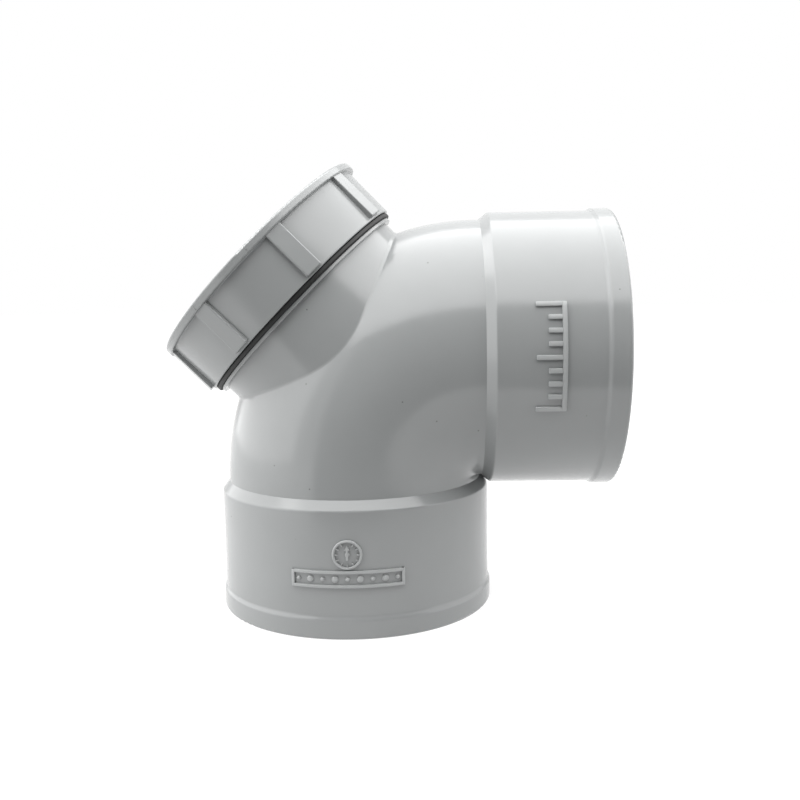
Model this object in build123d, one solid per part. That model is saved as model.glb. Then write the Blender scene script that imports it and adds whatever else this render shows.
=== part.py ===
from build123d import *
import os

# A 90 mm drain-pipe inspection bend: one PVC-U moulding with a socket at each end of a tight
# 90 degree bend and a threaded neck on its back, a ribbed screw cap, and a flat rubber ring.
# Millimetres. The fitting stands on the mouth of its lower socket. The origin is the centre of
# that mouth, +Z goes up the socket's axis and +X runs along the other socket's axis.
# The neck leaves the point where the two socket axes cross, at 45 degrees up and back.

# Pipe and sockets
pipe_r = 45.0
socket_play = 0.15
socket_bore_r = pipe_r + socket_play
socket_wall = 3.35
socket_r = socket_bore_r + socket_wall
socket_depth = 41.0
centre_to_mouth = 91.6
mouth_band_r = socket_r + 0.75
mouth_band_width = 6.6
band_step = 1.2
band_round = 1.4
mouth_round = 1.1
mouth_lead_in = 0.4

# Bend
bend_wall = 3.3
bore_r = 42.7
body_r = bore_r + bend_wall
bend_r = 44.0
shoulder_low = 42.7
shoulder_high = 45.9
shoulder_round = 1.2

# Neck, measured outwards from the crossing point of the socket axes
neck_tilt = -45.0
boss_r = 41.0
boss_fillet = 1.5
collar_r = 42.8
collar_low = 22.7
collar_top = 24.0
neck_core_r = 39.85
neck_bore_r = 36.5
neck_rim = 42.4
rim_round = 0.6

# Screw thread
pitch = 5.0
thread_depth = 1.3
thread_turns = 2.3
neck_thread_height = 28.6
cap_thread_lag = -0.6
thread_play = 0.3
ridge_root_width = 3.0
ridge_crest_width = 1.6
ridge_bite = 0.3

# Sealing ring
ring_r = 43.8
ring_hole_r = neck_core_r + 0.25
ring_thickness = 1.5
ring_round = 0.45

# Screw cap
cap_low = 25.6
cap_wall_r = 44.5
cap_wall_draft = 0.35
cap_bore_r = neck_core_r + thread_depth + thread_play
cap_flange_r = 46.7
cap_flange_low = 44.6
cap_top = 47.5
cap_plate = 2.9
cap_recess_r = 39.5
cap_recess_depth = 1.3
cap_ring_r = 20.0
cap_ring_width = 1.4
cap_ring_height = 0.5
gate_mark_r = 3.0
gate_mark_height = 0.6
rib_count = 8
rib_first_angle = 18.0
rib_width = 6.4
rib_top_r = 46.1
rib_low = cap_low + 0.7
rib_round = 0.45


def along_neck(shape):
    """Place a shape built about +Z, with the crossing point at its origin, on the neck's axis."""
    return Pos(0, 0, centre_to_mouth) * Rot(0, neck_tilt, 0) * shape


def on_both_sockets(shape):
    """A shape at the lower socket together with its copy turned onto the side socket."""
    turned = Pos(0, 0, centre_to_mouth) * Rot(0, -90, 0) * Pos(0, 0, -centre_to_mouth) * shape
    return shape + turned


def turned_solid(points, rounds=()):
    """Spin a closed (radius, height) outline about Z, with some of its corners rounded first."""
    corners = [Vector(r, 0, z) for r, z in points]
    outline = make_face(Polyline(*corners, close=True))
    for index, radius in rounds:
        corner = outline.vertices().sort_by_distance(corners[index])[0]
        outline = fillet(corner, radius)
    return revolve(outline, Axis.Z, 360)


def pipe_bend(radius):
    """The round bend, cut off square at its inner corner because it is tighter than its radius."""
    centre = Vector(bend_r, 0, centre_to_mouth - bend_r)
    section_plane = Plane(origin=(0, 0, centre.Z), x_dir=(1, 0, 0), z_dir=(0, 0, 1))
    keep = Pos(bend_r - 2 * radius, 0) * Rectangle(4 * radius, 4 * radius)
    section = section_plane * (Circle(radius) & keep)
    return revolve(section, Axis(centre, (0, 1, 0)), 90)


def thread_ridge(root_r, crest_r, root_width, crest_width, height, lag):
    """A right-hand trapezoidal ridge wound about Z, biting a little way into its wall.

    The ridge passes the +X side at the given height, and starts the lag's turns away from there.
    """
    bite = ridge_bite if crest_r > root_r else -ridge_bite
    path = Helix(pitch, thread_turns * pitch, root_r)
    flank = (root_width - crest_width) / 2
    base = root_width / 2 + flank * ridge_bite / thread_depth
    corners = [
        (root_r - bite, -base),
        (crest_r, -crest_width / 2),
        (crest_r, crest_width / 2),
        (root_r - bite, base),
    ]
    section = make_face(Polyline(*[Vector(r, 0, z) for r, z in corners], close=True))
    ridge = sweep(section, path=path, is_frenet=True)
    return Pos(0, 0, height + lag * pitch) * Rot(0, 0, 360 * lag) * ridge


def socket_outside():
    """Mouth band, socket wall and shoulder of the lower socket, up to where the bend starts."""
    bend_start = centre_to_mouth - bend_r
    outline = [
        (0, 0),
        (mouth_band_r, 0),
        (mouth_band_r, mouth_band_width),
        (socket_r, mouth_band_width + band_step),
        (socket_r, shoulder_low),
        (body_r, shoulder_high),
        (body_r, bend_start),
        (0, bend_start),
    ]
    rounds = [
        (1, mouth_round),
        (2, band_round),
        (3, band_round),
        (4, shoulder_round),
    ]
    return turned_solid(outline, rounds)


def socket_inside():
    """The pipe's seat: lead-in at the mouth, straight bore, and the ledge that stops the pipe."""
    bend_start = centre_to_mouth - bend_r
    outline = [
        (0, 0),
        (socket_bore_r + mouth_lead_in, 0),
        (socket_bore_r, mouth_lead_in),
        (socket_bore_r, socket_depth),
        (bore_r, socket_depth),
        (bore_r, bend_start),
        (0, bend_start),
    ]
    return turned_solid(outline, [(4, 0.8)])


def on_boss_junction(edge):
    """True for the edge where the neck's round boss runs out onto the bend."""
    for step in (0.1, 0.35, 0.6, 0.85):
        place = (Pos(0, 0, centre_to_mouth) * Rot(0, neck_tilt, 0)).inverse() * Pos(edge @ step)
        point = place.position
        radius = (point.X**2 + point.Y**2) ** 0.5
        if abs(radius - boss_r) > 0.05 or not 0.5 < point.Z < collar_low - 0.5:
            return False
    return True


def elbow():
    """The whole moulding: both sockets, the bend, and the threaded neck with its collar."""
    boss = along_neck(Pos(0, 0, collar_low / 2) * Cylinder(boss_r, collar_low))
    outside = pipe_bend(body_r) + on_both_sockets(socket_outside()) + boss
    outside = fillet(outside.edges().filter_by(on_boss_junction), boss_fillet)
    neck = turned_solid(
        [
            (0, collar_low - 1),
            (boss_r, collar_low - 1),
            (boss_r, collar_low),
            (collar_r, collar_low),
            (collar_r, collar_top),
            (neck_core_r, collar_top),
            (neck_core_r, neck_rim),
            (0, neck_rim),
        ],
        [(3, 0.25), (4, 0.25), (6, rim_round)],
    )
    ridge = thread_ridge(
        neck_core_r,
        neck_core_r + thread_depth,
        ridge_root_width,
        ridge_crest_width,
        neck_thread_height,
        0,
    )
    outside = outside + along_neck(neck + ridge)
    neck_bore = along_neck(Pos(0, 0, neck_rim / 2 + 1) * Cylinder(neck_bore_r, neck_rim + 2))
    inside = pipe_bend(bore_r) + on_both_sockets(socket_inside()) + neck_bore
    return outside - inside


def sealing_ring():
    """Flat rubber ring that lies on the collar, under the cap's lower edge."""
    low = collar_top
    high = collar_top + ring_thickness
    outline = [(ring_hole_r, low), (ring_r, low), (ring_r, high), (ring_hole_r, high)]
    return along_neck(turned_solid(outline, [(1, ring_round), (2, ring_round)]))


def cap_rib(angle):
    """One flat grip rib, between the cap's flange and just above its lower edge."""
    height = cap_flange_low - rib_low + 0.5
    depth = rib_top_r - cap_wall_r + 2
    bar = Box(rib_width, depth, height)
    bar = fillet(bar.edges().filter_by(Axis.Z).group_by(Axis.Y)[0], rib_round)
    bar = fillet(bar.faces().sort_by(Axis.Z)[0].edges().sort_by(Axis.Y)[0], rib_round)
    middle = rib_top_r - depth / 2
    return Rot(0, 0, angle) * Pos(0, -middle, rib_low + height / 2) * bar


def screw_cap():
    """Cap with a flange, eight grip ribs, an inside thread and a shallow dished top."""
    inside_top = cap_top - cap_recess_depth - cap_plate
    wall_top_r = cap_wall_r + cap_wall_draft
    cup = turned_solid(
        [
            (0, inside_top),
            (cap_bore_r, inside_top),
            (cap_bore_r, cap_low),
            (cap_wall_r, cap_low),
            (wall_top_r, cap_flange_low),
            (cap_flange_r, cap_flange_low),
            (cap_flange_r, cap_top),
            (cap_recess_r, cap_top),
            (cap_recess_r - cap_recess_depth, cap_top - cap_recess_depth),
            (0, cap_top - cap_recess_depth),
        ],
        [(1, 1.0), (2, 0.3), (3, 0.4), (4, 0.5), (5, 0.5), (6, 0.7), (7, 0.6), (8, 0.8)],
    )
    for index in range(rib_count):
        cup = cup + cap_rib(rib_first_angle + index * 360 / rib_count)
    dish = cap_top - cap_recess_depth
    step = Pos(0, 0, dish) * (
        Cylinder(cap_ring_r + cap_ring_width, 2 * cap_ring_height)
        - Cylinder(cap_ring_r, 2 * cap_ring_height)
    )
    gate = Pos(0, 0, dish) * Cylinder(gate_mark_r, 2 * gate_mark_height)
    ridge = thread_ridge(
        cap_bore_r,
        cap_bore_r - thread_depth,
        ridge_root_width - 0.2,
        ridge_crest_width,
        neck_thread_height + pitch / 2,
        cap_thread_lag,
    )
    return along_neck(cup + step + gate + ridge)


def write(name, shape):
    export_step(shape, f"parts/{name}.step")


os.makedirs("parts", exist_ok=True)
write("elbow_moulding", elbow())
write("sealing_ring", sealing_ring())
write("screw_cap", screw_cap())
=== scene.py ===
import bpy
from math import cos, pi, radians, sin
from mathutils import Matrix, Vector


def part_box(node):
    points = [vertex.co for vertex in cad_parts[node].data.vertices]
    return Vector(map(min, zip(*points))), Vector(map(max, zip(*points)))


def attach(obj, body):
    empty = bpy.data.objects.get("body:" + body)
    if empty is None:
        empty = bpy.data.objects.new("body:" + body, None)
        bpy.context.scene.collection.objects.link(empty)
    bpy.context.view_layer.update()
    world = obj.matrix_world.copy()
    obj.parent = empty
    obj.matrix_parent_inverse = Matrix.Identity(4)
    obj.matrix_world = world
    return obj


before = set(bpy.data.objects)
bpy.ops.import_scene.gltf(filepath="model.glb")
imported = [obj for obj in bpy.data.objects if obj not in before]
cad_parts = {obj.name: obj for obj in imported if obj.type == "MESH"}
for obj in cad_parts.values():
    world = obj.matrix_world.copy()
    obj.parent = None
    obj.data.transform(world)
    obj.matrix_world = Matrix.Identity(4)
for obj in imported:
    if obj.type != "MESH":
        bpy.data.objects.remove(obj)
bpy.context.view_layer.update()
bpy.ops.object.select_all(action="DESELECT")

# ---------------------------------------------------------------- elbow moulding
# The real piece is one PVC-U injection moulding: two sockets, the tight bend and the threaded
# neck. It comes out of a polished steel mould, so it is glossy, with a faint unevenness from
# the melt's flow and the cooling. It is dyed neutral grey all the way through.

mm = 0.001


def linear(colour):
    """The linear red, green, blue and alpha of an sRGB hex colour such as "8C8F8F"."""
    shares = [int(colour[i:i + 2], 16) / 255 for i in (0, 2, 4)]
    return [s / 12.92 if s <= 0.04045 else ((s + 0.055) / 1.055) ** 2.4 for s in shares] + [1.0]


def node(tree, kind, links=None, values=None, **settings):
    """Add a node to a material: its settings, the values of its sockets, and what feeds them."""
    made = tree.nodes.new(kind)
    for name, value in settings.items():
        setattr(made, name, value)
    for name, value in (values or {}).items():
        made.inputs[name].default_value = value
    for name, source in (links or {}).items():
        tree.links.new(source, made.inputs[name])
    return made


def mixed(tree, share, low, high):
    """A colour between two sRGB hex colours, by a share from another node."""
    ramp = node(tree, "ShaderNodeValToRGB", {"Fac": share})
    ramp.color_ramp.elements[0].color = linear(low)
    ramp.color_ramp.elements[1].color = linear(high)
    return ramp.outputs["Color"]


def moulded_pvc(name, grey, dark_grey, roughness):
    """Glossy moulded PVC-U: flow clouds in the grey, specks, scuffs and a slight orange peel."""
    material = bpy.data.materials.new(name)
    material.use_nodes = True
    tree = material.node_tree
    tree.nodes.clear()
    place = node(tree, "ShaderNodeTexCoord").outputs["Object"]
    cloud_size = 26 * mm
    clouds = node(
        tree,
        "ShaderNodeTexNoise",
        {"Vector": place},
        {"Scale": 1 / cloud_size, "Detail": 3.0, "Roughness": 0.5},
    )
    tone = mixed(tree, clouds.outputs["Fac"], dark_grey, grey)
    speck_gap = 9 * mm
    speck_cells = node(
        tree,
        "ShaderNodeTexVoronoi",
        {"Vector": place},
        {"Scale": 1 / speck_gap, "Randomness": 1.0},
    )
    speck_size = 0.022
    specks = node(
        tree,
        "ShaderNodeMapRange",
        {"Value": speck_cells.outputs["Distance"]},
        {"From Min": speck_size, "From Max": speck_size + 0.015, "To Min": 0.5, "To Max": 1.0},
    )
    speckled = node(
        tree,
        "ShaderNodeVectorMath",
        {0: tone, 1: specks.outputs["Result"]},
        operation="MULTIPLY",
    )
    scuff_size = 9 * mm
    scuffs = node(
        tree,
        "ShaderNodeTexNoise",
        {"Vector": place},
        {"Scale": 1 / scuff_size, "Detail": 6.0, "Roughness": 0.65, "Distortion": 1.5},
    )
    gloss = node(
        tree,
        "ShaderNodeMapRange",
        {"Value": scuffs.outputs["Fac"]},
        {"From Min": 0.35, "From Max": 0.75, "To Min": roughness - 0.03, "To Max": roughness + 0.07},
    )
    peel_size = 6 * mm
    peel = node(
        tree,
        "ShaderNodeTexNoise",
        {"Vector": place},
        {"Scale": 1 / peel_size, "Detail": 1.0, "Roughness": 0.4},
    )
    skin = node(
        tree,
        "ShaderNodeBump",
        {"Height": peel.outputs["Fac"]},
        {"Strength": 0.4, "Distance": 0.06 * mm},
    )
    shader = node(
        tree,
        "ShaderNodeBsdfPrincipled",
        {
            "Base Color": speckled.outputs["Vector"],
            "Roughness": gloss.outputs["Result"],
            "Normal": skin.outputs["Normal"],
        },
        {"IOR": 1.53},
    )
    node(tree, "ShaderNodeOutputMaterial", {"Surface": shader.outputs["BSDF"]})
    return material


elbow_pvc = moulded_pvc("grey_pvc_moulded", "8C8E8E", "848686", 0.17)
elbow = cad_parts["elbow_moulding"]
elbow.data.materials.clear()
elbow.data.materials.append(elbow_pvc)
elbow_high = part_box("elbow_moulding")[1]
crossing = Vector((0, 0, elbow_high[0]))
socket_r = 48.5 * mm

# ---------------------------------------------------------------- raised marks on the sockets
# Cut into the mould's walls, so they stand up from the sockets, more matt than the skin around
# them, and painted a lighter grey as a painted highlight for the light their raised tops catch:
# alignment ticks every five degrees round the side socket, and a date dial over a row of cavity
# pips on the lower one. Both are plain stand-ins that carry no letters or names.

mark_height = 0.75 * mm
mark_sink = 0.15 * mm
mark_edge = 0.16 * mm
# The marks' grey is painted lighter than the skin's grey: a painted highlight for the light on their
# tops.
marks_painted_highlight_pvc = moulded_pvc("marks_pvc_painted_highlight", "9EA0A0", "979999", 0.34)


def raised_bar(u, v, length, width, turn=0.0):
    """A bar lying flat on the mark's sheet at (u, v), finely divided so that it can be curved."""
    bpy.ops.mesh.primitive_cube_add(size=1.0, location=(0, 0, 0))
    bar = bpy.context.object
    bar.data.transform(Matrix.Diagonal((length, width, mark_height + mark_sink, 1)))
    slice_length = 1.5 * mm
    slices = max(1, round(length / slice_length))
    bpy.ops.object.mode_set(mode="EDIT")
    bpy.ops.mesh.select_all(action="SELECT")
    bpy.ops.mesh.bevel(offset=mark_edge, segments=2)
    for cut in range(1, slices):
        bpy.ops.mesh.select_all(action="SELECT")
        bpy.ops.mesh.bisect(plane_co=((cut / slices - 0.5) * length, 0, 0), plane_no=(1, 0, 0))
    bpy.ops.object.mode_set(mode="OBJECT")
    lift = (mark_height - mark_sink) / 2
    bar.data.transform(Matrix.Translation((u, v, lift)) @ Matrix.Rotation(turn, 4, "Z"))
    return bar


def raised_pip(u, v, radius):
    """A round pip, domed like the end of an ejector pin's mark."""
    bpy.ops.mesh.primitive_uv_sphere_add(segments=24, ring_count=12, radius=radius)
    pip = bpy.context.object
    pip.data.transform(Matrix.Diagonal((1, 1, mark_height / radius, 1)))
    pip.data.transform(Matrix.Translation((u, v, 0)))
    return pip


def raised_ring(u, v, radius, bead):
    """A rounded bead running in a circle."""
    bpy.ops.mesh.primitive_torus_add(
        major_radius=radius,
        minor_radius=bead,
        major_segments=72,
        minor_segments=12,
    )
    ring_bead = bpy.context.object
    ring_bead.data.transform(Matrix.Translation((u, v, mark_height - bead)))
    return ring_bead


def raised_triangle(u, v, radius):
    """A three-cornered arrow head pointing along +v, with a little draft on its sides."""
    draft = 0.86
    bpy.ops.mesh.primitive_cone_add(
        vertices=3,
        radius1=radius,
        radius2=radius * draft,
        depth=mark_height + mark_sink,
    )
    head = bpy.context.object
    head.data.transform(Matrix.Translation((u, v, (mark_height - mark_sink) / 2)))
    return head


def joined(name, pieces):
    """Join pieces into one object of that name."""
    bpy.ops.object.select_all(action="DESELECT")
    for piece in pieces:
        piece.select_set(True)
    bpy.context.view_layer.objects.active = pieces[0]
    bpy.ops.object.join()
    whole = bpy.context.object
    whole.name = name
    return whole


def moulded_on(name, pieces, axis_point, along, up):
    """Join the flat pieces and curve them round a socket whose outside radius is socket_r.

    The sheet's u runs round the socket, its v runs along the socket's axis, and its height
    points away from the axis. The sheet's middle is on the socket's -Y side.
    """
    mark = joined(name, pieces)
    for vertex in mark.data.vertices:
        angle = vertex.co.x / socket_r
        reach = socket_r + vertex.co.z
        vertex.co = (
            axis_point
            + along * (reach * sin(angle))
            + Vector((0, -1, 0)) * (reach * cos(angle))
            + up * vertex.co.y
        )
    bpy.ops.object.mode_set(mode="EDIT")
    bpy.ops.mesh.select_all(action="SELECT")
    bpy.ops.mesh.normals_make_consistent(inside=False)
    bpy.ops.object.mode_set(mode="OBJECT")
    bpy.ops.object.shade_smooth_by_angle(angle=radians(32))
    mark.data.materials.append(marks_painted_highlight_pvc)
    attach(mark, "elbow")
    bpy.ops.object.select_all(action="DESELECT")


tick_step = socket_r * radians(5)
tick_width = 1.5 * mm
long_tick = 8.2 * mm
short_tick = 4.4 * mm
ticks = []
for number in range(-4, 5):
    reach = long_tick if number % 4 == 0 else short_tick
    ticks.append(raised_bar(number * tick_step, reach / 2, reach, tick_width, pi / 2))
ticks.append(raised_bar(0, -tick_width / 2, 8 * tick_step + tick_width, tick_width))
ticks_start = crossing + Vector((69.4 * mm, 0, 0))
moulded_on("alignment_ticks", ticks, ticks_start, Vector((0, 0, 1)), Vector((-1, 0, 0)))

dial_r = 4.5 * mm
dial_bead = 0.45 * mm
dial_v = 8.2 * mm
hub_r = 0.8 * mm
pointer_length = 3.6 * mm
pointer_width = 0.8 * mm
arrow_r = 1.2 * mm
arrow_v = dial_v + 2.0 * mm
dial = [
    raised_ring(0, dial_v, dial_r, dial_bead),
    raised_pip(0, dial_v, hub_r),
    raised_bar(0, dial_v, pointer_length, pointer_width, pi / 2),
    raised_triangle(0, arrow_v, arrow_r),
]
hour_length = 0.9 * mm
hour_width = 0.35 * mm
hour_r = dial_r - 0.9 * mm
for hour in range(1, 12):
    angle = radians(30 * hour)
    u = hour_r * sin(angle)
    v = dial_v + hour_r * cos(angle)
    dial.append(raised_bar(u, v, hour_length, hour_width, pi / 2 - angle))

plate_length = 37.7 * mm
plate_width = 5.7 * mm
line = 1.0 * mm
for side in (-1, 1):
    dial.append(raised_bar(0, side * (plate_width - line) / 2, plate_length, line))
    dial.append(raised_bar(side * (plate_length - line) / 2, 0, plate_width, line, pi / 2))
pip_step = 4.116 * mm
small_pip_r = 0.75 * mm
large_pip_r = 1.15 * mm
for number in range(-4, 5):
    dial.append(raised_pip(number * pip_step, 0, large_pip_r if number % 2 else small_pip_r))
plate_middle = crossing - Vector((0, 0, 71.2 * mm))
moulded_on("date_dial", dial, plate_middle, Vector((1, 0, 0)), Vector((0, 0, 1)))

# ---------------------------------------------------------------- screw cap
# A second PVC-U moulding in the same grey: a flange, eight flat grip ribs and an inside thread.
# It comes out of its mould a little duller than the elbow, and is screwed on by hand.

cap_pvc = moulded_pvc("grey_pvc_cap", "8A8C8C", "818383", 0.2)
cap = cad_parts["screw_cap"]
cap.data.materials.clear()
cap.data.materials.append(cap_pvc)

# ---------------------------------------------------------------- parting lines on the cap
# The mould's jaws meet at four places round the flange's edge and leave a hairline of flash at
# each, a tenth of a millimetre proud of the flange.

flange_r = 46.7 * mm
flange_middle = 46.05 * mm
flash_width = 0.3 * mm
flash_depth = 0.6 * mm
flash_length = 2.1 * mm
flash_proud = 0.1 * mm
flash_edge = 0.08 * mm
on_neck = Matrix.Translation(crossing) @ Matrix.Rotation(radians(-45), 4, "Y")
flashes = []
for turn in (-28, 5, 152, 185):
    bpy.ops.mesh.primitive_cube_add(size=1.0, location=(0, 0, 0))
    flash = bpy.context.object
    flash.data.transform(Matrix.Diagonal((flash_width, flash_depth, flash_length, 1)))
    bpy.ops.object.mode_set(mode="EDIT")
    bpy.ops.mesh.select_all(action="SELECT")
    bpy.ops.mesh.bevel(offset=flash_edge, segments=2)
    bpy.ops.object.mode_set(mode="OBJECT")
    reach = flange_r + flash_proud - flash_depth / 2
    at_flange = Matrix.Translation((0, -reach, flange_middle))
    flash.data.transform(on_neck @ Matrix.Rotation(radians(turn), 4, "Z") @ at_flange)
    flashes.append(flash)
parting_lines = joined("parting_lines", flashes)
bpy.ops.object.shade_smooth_by_angle(angle=radians(32))
parting_lines.data.materials.append(cap_pvc)
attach(parting_lines, "cap")
bpy.ops.object.select_all(action="DESELECT")

# ---------------------------------------------------------------- sealing ring
# A flat ring of black nitrile rubber, moulded, matt, lying on the neck's collar. It has a fine
# grain from the mould and a grey bloom where the filler has come to the skin.

rubber = bpy.data.materials.new("black_rubber_moulded")
rubber.use_nodes = True
rubber_tree = rubber.node_tree
rubber_place = node(rubber_tree, "ShaderNodeTexCoord").outputs["Object"]
bloom_size = 6 * mm
bloom = node(
    rubber_tree,
    "ShaderNodeTexNoise",
    {"Vector": rubber_place},
    {"Scale": 1 / bloom_size, "Detail": 4.0, "Roughness": 0.6},
)
black = mixed(rubber_tree, bloom.outputs["Fac"], "0A0A0A", "161717")
grain_size = 0.5 * mm
grain = node(
    rubber_tree,
    "ShaderNodeTexNoise",
    {"Vector": rubber_place},
    {"Scale": 1 / grain_size, "Detail": 2.0},
)
grain_bump = node(
    rubber_tree,
    "ShaderNodeBump",
    {"Height": grain.outputs["Fac"]},
    {"Strength": 0.5, "Distance": 0.03 * mm},
)
rubber_shader = rubber_tree.nodes["Principled BSDF"]
rubber_shader.inputs["Roughness"].default_value = 0.6
rubber_tree.links.new(black, rubber_shader.inputs["Base Color"])
rubber_tree.links.new(grain_bump.outputs["Normal"], rubber_shader.inputs["Normal"])
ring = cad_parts["sealing_ring"]
ring.data.materials.clear()
ring.data.materials.append(rubber)

# ---------------------------------------------------------------- floor, light and camera
# A pale floor that glows a little, as a light table does, in a white tent. A large soft box hangs
# over the object and one stands on each side. Dark cards in front and behind, which the camera
# doesn't see, darken the faces turned to them; reflections leave out the one behind.

bpy.ops.mesh.primitive_plane_add(size=8.0, location=(0, 0, 0))
floor = bpy.context.object
floor.name = "floor"
paper = bpy.data.materials.new("white_paper")
paper.use_nodes = True
paper_shader = paper.node_tree.nodes["Principled BSDF"]
paper_shader.inputs["Base Color"].default_value = linear("808080")
paper_shader.inputs["Roughness"].default_value = 0.9
paper_shader.inputs["Specular IOR Level"].default_value = 0.0
paper_shader.inputs["Emission Color"].default_value = (1, 1, 1, 1)
paper_shader.inputs["Emission Strength"].default_value = 0.88
floor.data.materials.append(paper)

felt = bpy.data.materials.new("dark_felt")
felt.use_nodes = True
felt_shader = felt.node_tree.nodes["Principled BSDF"]
felt_shader.inputs["Base Color"].default_value = linear("303030")
felt_shader.inputs["Roughness"].default_value = 0.9
felt_shader.inputs["Specular IOR Level"].default_value = 0.0


def upright_card(name, width, height, middle):
    """A card standing across the Y axis, unseen by the camera."""
    bpy.ops.mesh.primitive_plane_add(size=1.0, location=(0, 0, 0))
    card = bpy.context.object
    card.name = name
    card.data.transform(Matrix.Diagonal((width, height, 1, 1)))
    card.data.transform(Matrix.Rotation(radians(90), 4, "X"))
    card.data.transform(Matrix.Translation(middle))
    card.data.materials.append(felt)
    card.visible_camera = False
    return card


upright_card("dark_card", 0.46, 0.22, (0.12, -0.19, 0.11))
back_card = upright_card("back_card", 0.6, 0.25, (0, 0.17, 0.125))
back_card.visible_glossy = False

world = bpy.data.worlds.new("white_tent")
bpy.context.scene.world = world
world.use_nodes = True
world.node_tree.nodes["Background"].inputs["Color"].default_value = (1, 1, 1, 1)
world.node_tree.nodes["Background"].inputs["Strength"].default_value = 1.0


def soft_box(name, place, target, width, height, power):
    """A rectangular area light at a place, aimed at a target, with its power in watts."""
    lamp = bpy.data.lights.new(name, "AREA")
    lamp.shape = "RECTANGLE"
    lamp.size = width
    lamp.size_y = height
    lamp.energy = power
    holder = bpy.data.objects.new(name, lamp)
    holder.location = place
    holder.rotation_euler = (Vector(target) - Vector(place)).to_track_quat("-Z", "Y").to_euler()
    bpy.context.scene.collection.objects.link(holder)


soft_box("top_box", (0.02, -0.09, 0.6), (0.02, -0.09, 0), 1.2, 1.08, 11.5)
soft_box("left_box", (-0.75, 0.15, 0.45), (0, 0.15, 0.3), 1.6, 1.0, 8.5)
soft_box("right_box", (0.85, 0.1, 0.45), (0, 0.1, 0.3), 1.6, 1.0, 5.0)

camera_data = bpy.data.cameras.new("camera")
camera_data.lens = 42.9
camera_data.sensor_width = 36
camera = bpy.data.objects.new("camera", camera_data)
camera.location = (24.8 * mm, -348.1 * mm, crossing.z + 23.6 * mm)
camera.rotation_euler = (radians(83.07), radians(0.96), radians(1.19))
bpy.context.scene.collection.objects.link(camera)
bpy.context.scene.camera = camera
bpy.context.scene.view_settings.view_transform = "Standard"
